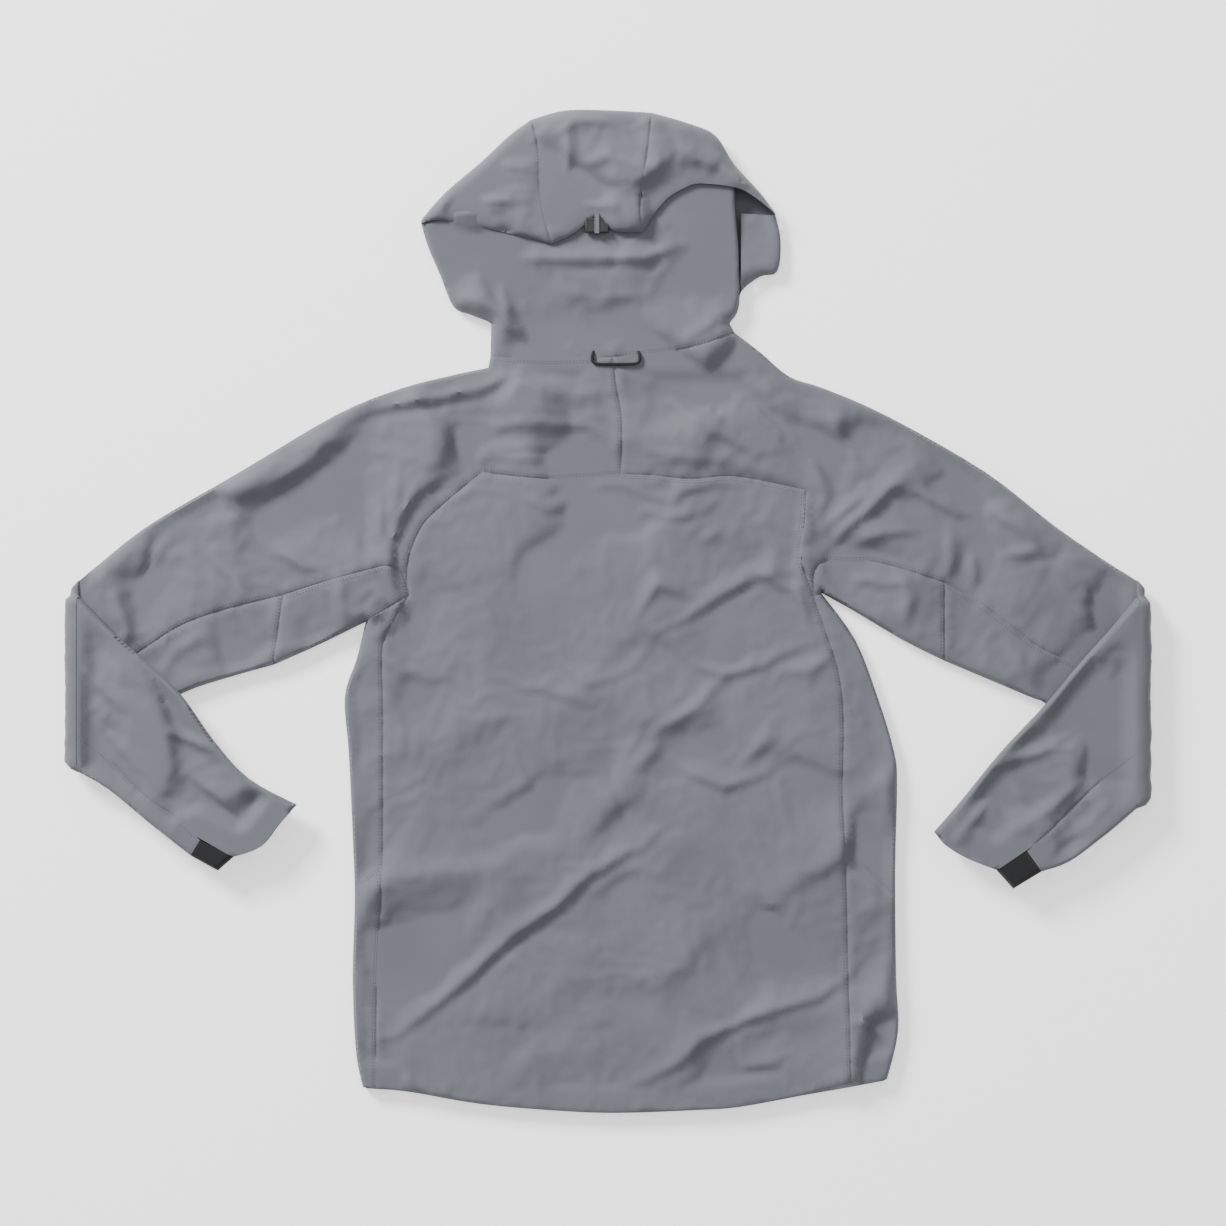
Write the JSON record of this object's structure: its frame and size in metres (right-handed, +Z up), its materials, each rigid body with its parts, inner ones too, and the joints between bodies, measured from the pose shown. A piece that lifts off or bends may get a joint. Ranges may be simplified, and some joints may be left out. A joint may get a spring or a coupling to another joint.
{
  "type": "hooded jacket",
  "caption": "Hooded light mountain jacket laid flat on its front with both forearms folded over; hood, elbows, zips and cord locks move.",
  "frame": {"origin": "middle of the footprint of the jacket as it lies, on the surface it lies on", "axes": "+X to the wearer's right sleeve, +Y to the hood, +Z up out of the surface; the back of the jacket faces +Z"},
  "size_m": [1.0876, 1.004, 0.0297],
  "materials": {
    "shell_cloth": "fine matt weave",
    "lining_cloth": "matt knit",
    "black_tape": "matt ribbed tape",
    "black_cord": "matt braid",
    "black_plastic": "matt moulded"
  },
  "bodies": {
    "jacket": {"back_panel": "shell_cloth", "left_shoulder_panel": "shell_cloth", "right_shoulder_panel": "shell_cloth", "left_underarm_panel": "shell_cloth", "right_underarm_panel": "shell_cloth", "left_undersleeve_panel": "shell_cloth", "right_undersleeve_panel": "shell_cloth", "left_side_panel": "shell_cloth", "right_side_panel": "shell_cloth", "left_front_panel": "shell_cloth", "right_front_panel": "shell_cloth", "left_front_sleeve_panel": "shell_cloth", "right_front_sleeve_panel": "shell_cloth", "collar_back_panel": "shell_cloth", "collar_lining": "lining_cloth", "left_collar_front": "shell_cloth", "right_collar_front": "shell_cloth", "chin_guard": "lining_cloth", "hang_loop": "black_cord", "zip_facings": "shell_cloth", "zip_tapes": "black_tape", "zip_coils": "black_plastic", "left_pocket_bag": "lining_cloth", "right_pocket_bag": "lining_cloth", "back_hem_fold": "shell_cloth", "front_hem_folds": "shell_cloth", "hem_drawcord": "black_cord", "left_hem_lock": "black_plastic", "right_hem_lock": "black_plastic", "left_elbow_fold": "shell_cloth", "right_elbow_fold": "shell_cloth"},
    "hood": {"hood_crown_panel": "shell_cloth", "hood_left_panel": "shell_cloth", "hood_right_panel": "shell_cloth", "hood_neck_panel": "shell_cloth", "hood_left_cheek_panel": "shell_cloth", "hood_right_cheek_panel": "shell_cloth", "hood_brim": "lining_cloth", "hood_face_binding": "shell_cloth", "hood_adjuster_cord": "black_cord", "hood_cord_lock": "black_plastic"},
    "left_forearm": {"left_forearm_panel": "shell_cloth", "left_forearm_under_panel": "shell_cloth", "left_forearm_inner_panel": "shell_cloth", "left_cuff_elastic": "black_tape", "left_cuff_facing": "lining_cloth"},
    "right_forearm": {"right_forearm_panel": "shell_cloth", "right_forearm_under_panel": "shell_cloth", "right_forearm_inner_panel": "shell_cloth", "right_cuff_elastic": "black_tape", "right_cuff_facing": "lining_cloth"},
    "front_slider": {"front_zip_slider": "black_plastic"},
    "front_pull": {"front_zip_pull": "black_plastic"},
    "left_slider": {"left_pocket_slider": "black_plastic"},
    "right_slider": {"right_pocket_slider": "black_plastic"},
    "left_pull": {"left_pocket_pull": "black_plastic"},
    "right_pull": {"right_pocket_pull": "black_plastic"},
    "left_button": {"left_hem_button": "black_plastic"},
    "right_button": {"right_hem_button": "black_plastic"},
    "hood_button": {"hood_lock_button": "black_plastic"}
  },
  "joints": [
    {"name": "hood_fold", "type": "hinge", "parent": "jacket", "child": "hood", "pos_m": [0, 0.288, 0.024], "axis": [1, 0, 0], "range_deg": [0, 175]},
    {"name": "left_sleeve_fold", "type": "hinge", "parent": "jacket", "child": "left_forearm", "pos_m": [-0.52915, 0, 0.01485], "axis": [0, -1, 0], "range_deg": [0, 179], "deforming": ["left_elbow_fold"]},
    {"name": "right_sleeve_fold", "type": "hinge", "parent": "jacket", "child": "right_forearm", "pos_m": [0.52915, 0, 0.01485], "axis": [0, 1, 0], "range_deg": [0, 179], "deforming": ["right_elbow_fold"]},
    {"name": "front_zip_slide", "type": "slide", "parent": "jacket", "child": "front_slider", "axis": [0, -1, 0], "range_m": [0, 0.72]},
    {"name": "front_zip_pull_swing", "type": "hinge", "parent": "front_slider", "child": "front_pull", "pos_m": [0.012, 0.275, 0.0012], "axis": [1, 0, 0], "range_deg": [0, 170]},
    {"name": "left_pocket_zip_slide", "type": "slide", "parent": "jacket", "child": "left_slider", "axis": [-0.1219, -0.9925, 0], "range_m": [0, 0.155]},
    {"name": "left_pocket_pull_swing", "type": "hinge", "parent": "left_slider", "child": "left_pull", "pos_m": [-0.14583, -0.16573, 0.0012], "axis": [0.9925, -0.1219, 0], "range_deg": [0, 170]},
    {"name": "right_pocket_zip_slide", "type": "slide", "parent": "jacket", "child": "right_slider", "axis": [0.1219, -0.9925, 0], "range_m": [0, 0.155]},
    {"name": "right_pocket_pull_swing", "type": "hinge", "parent": "right_slider", "child": "right_pull", "pos_m": [0.16983, -0.16573, 0.0012], "axis": [0.9925, 0.1219, 0], "range_deg": [0, 170]},
    {"name": "left_hem_lock_press", "type": "slide", "parent": "jacket", "child": "left_button", "axis": [1, 0, 0], "range_m": [0, 0.002], "stiffness_N_per_m": 300, "springref_m": -0.001},
    {"name": "right_hem_lock_press", "type": "slide", "parent": "jacket", "child": "right_button", "axis": [-1, 0, 0], "range_m": [0, 0.002], "stiffness_N_per_m": 300, "springref_m": -0.001},
    {"name": "hood_lock_press", "type": "slide", "parent": "hood", "child": "hood_button", "axis": [0, 1, 0], "range_m": [0, 0.0012], "stiffness_N_per_m": 300, "springref_m": -0.001}
  ]
}
